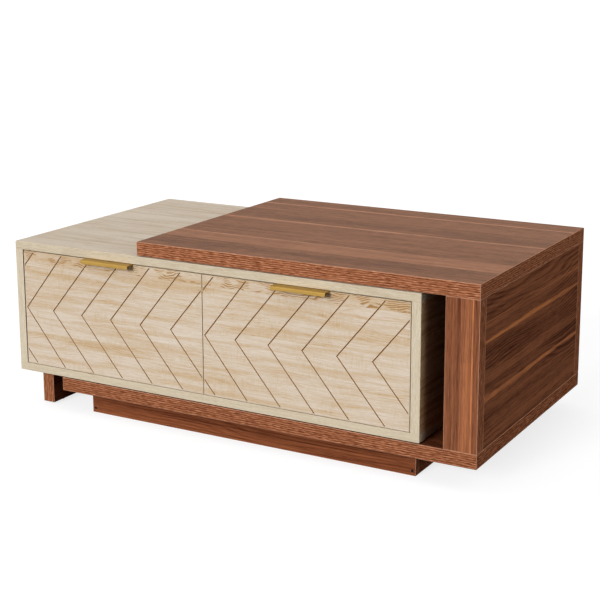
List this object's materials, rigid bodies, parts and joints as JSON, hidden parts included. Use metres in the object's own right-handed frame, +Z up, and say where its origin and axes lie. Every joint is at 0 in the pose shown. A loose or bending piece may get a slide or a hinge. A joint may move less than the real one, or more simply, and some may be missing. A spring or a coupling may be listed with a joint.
{
  "type": "extendable coffee table",
  "caption": "Coffee table whose oak drawer cabinet slides out of a C-shaped walnut shell, with chevron-grooved drawer fronts and gold edge pulls.",
  "frame": {"origin": "on the floor, under the middle of the table's box as it stands at rest, the cabinet drawn out 50 mm", "axes": "+X along the table towards the shell's closed end, -Y towards the drawer fronts, +Z up"},
  "size_m": [1.12, 0.62, 0.414],
  "materials": {
    "walnut_laminate": "walnut-figured laminate on board, satin, with long dark and orange streaks",
    "light_oak_laminate": "pale sonoma-oak laminate on board, matt, with soft tan streaks and fine cross saw marks",
    "drawer_laminate": "pale plain laminate on board, matt",
    "hardboard": "thin fibreboard with a pale printed face",
    "softwood": "raw planed softwood",
    "brushed_gold": "brushed gold, satin",
    "runner_steel": "zinc-plated rolled steel",
    "zinc_fitting": "zinc-plated",
    "black_screw": "black oxide, satin",
    "nylon": "natural nylon, matt"
  },
  "bodies": {
    "shell": {"shell_top": "walnut_laminate", "shell_bottom": "walnut_laminate", "end_panel": "walnut_laminate", "front_jamb": "walnut_laminate", "rear_jamb": "walnut_laminate", "plinth_front_rail": "walnut_laminate", "plinth_rear_rail": "walnut_laminate", "plinth_left_rail": "walnut_laminate", "plinth_middle_rail": "walnut_laminate", "plinth_right_rail": "walnut_laminate", "plinth_corner_blocks": "softwood", "plinth_screws": "black_screw", "shell_cam_locks": "zinc_fitting", "shell_cam_bolts": "zinc_fitting", "upper_slide_pads": "nylon"},
    "cabinet": {"cabinet_top": "light_oak_laminate", "cabinet_bottom": "light_oak_laminate", "cabinet_left_side": "light_oak_laminate", "cabinet_right_side": "light_oak_laminate", "cabinet_divider": "light_oak_laminate", "cabinet_back": "light_oak_laminate", "support_leg": "walnut_laminate", "leg_screws": "zinc_fitting", "leg_glides": "nylon", "lower_slide_pads": "nylon", "guide_pins": "nylon", "cabinet_runner_screws": "zinc_fitting", "left_drawer_left_runner_cabinet_member": "runner_steel", "left_drawer_right_runner_cabinet_member": "runner_steel", "right_drawer_left_runner_cabinet_member": "runner_steel", "right_drawer_right_runner_cabinet_member": "runner_steel"},
    "left_drawer": {"left_drawer_front": "light_oak_laminate", "left_drawer_left_side": "drawer_laminate", "left_drawer_right_side": "drawer_laminate", "left_drawer_back": "drawer_laminate", "left_drawer_bottom": "hardboard", "left_drawer_handle": "brushed_gold", "left_drawer_handle_screws": "zinc_fitting", "left_drawer_runner_screws": "zinc_fitting", "left_drawer_left_runner_drawer_member": "runner_steel", "left_drawer_right_runner_drawer_member": "runner_steel"},
    "left_drawer_runner_middles": {"left_drawer_left_runner_middle_member": "runner_steel", "left_drawer_right_runner_middle_member": "runner_steel"},
    "right_drawer": {"right_drawer_front": "light_oak_laminate", "right_drawer_left_side": "drawer_laminate", "right_drawer_right_side": "drawer_laminate", "right_drawer_back": "drawer_laminate", "right_drawer_bottom": "hardboard", "right_drawer_handle": "brushed_gold", "right_drawer_handle_screws": "zinc_fitting", "right_drawer_runner_screws": "zinc_fitting", "right_drawer_left_runner_drawer_member": "runner_steel", "right_drawer_right_runner_drawer_member": "runner_steel"},
    "right_drawer_runner_middles": {"right_drawer_left_runner_middle_member": "runner_steel", "right_drawer_right_runner_middle_member": "runner_steel"}
  },
  "joints": [
    {"name": "cabinet_slide", "type": "slide", "parent": "shell", "child": "cabinet", "axis": [-1, 0, 0], "range_m": [-0.049, 0.4]},
    {"name": "left_drawer_slide", "type": "slide", "parent": "cabinet", "child": "left_drawer", "axis": [0, -1, 0], "range_m": [0, 0.4]},
    {"name": "left_drawer_runner_middle_slide", "type": "slide", "parent": "cabinet", "child": "left_drawer_runner_middles", "axis": [0, -1, 0], "range_m": [0, 0.2]},
    {"name": "right_drawer_slide", "type": "slide", "parent": "cabinet", "child": "right_drawer", "axis": [0, -1, 0], "range_m": [0, 0.4]},
    {"name": "right_drawer_runner_middle_slide", "type": "slide", "parent": "cabinet", "child": "right_drawer_runner_middles", "axis": [0, -1, 0], "range_m": [0, 0.2]}
  ],
  "couplings": [
    {"joint": "left_drawer_runner_middle_slide", "follows": "left_drawer_slide", "ratio": 0.5},
    {"joint": "right_drawer_runner_middle_slide", "follows": "right_drawer_slide", "ratio": 0.5}
  ]
}
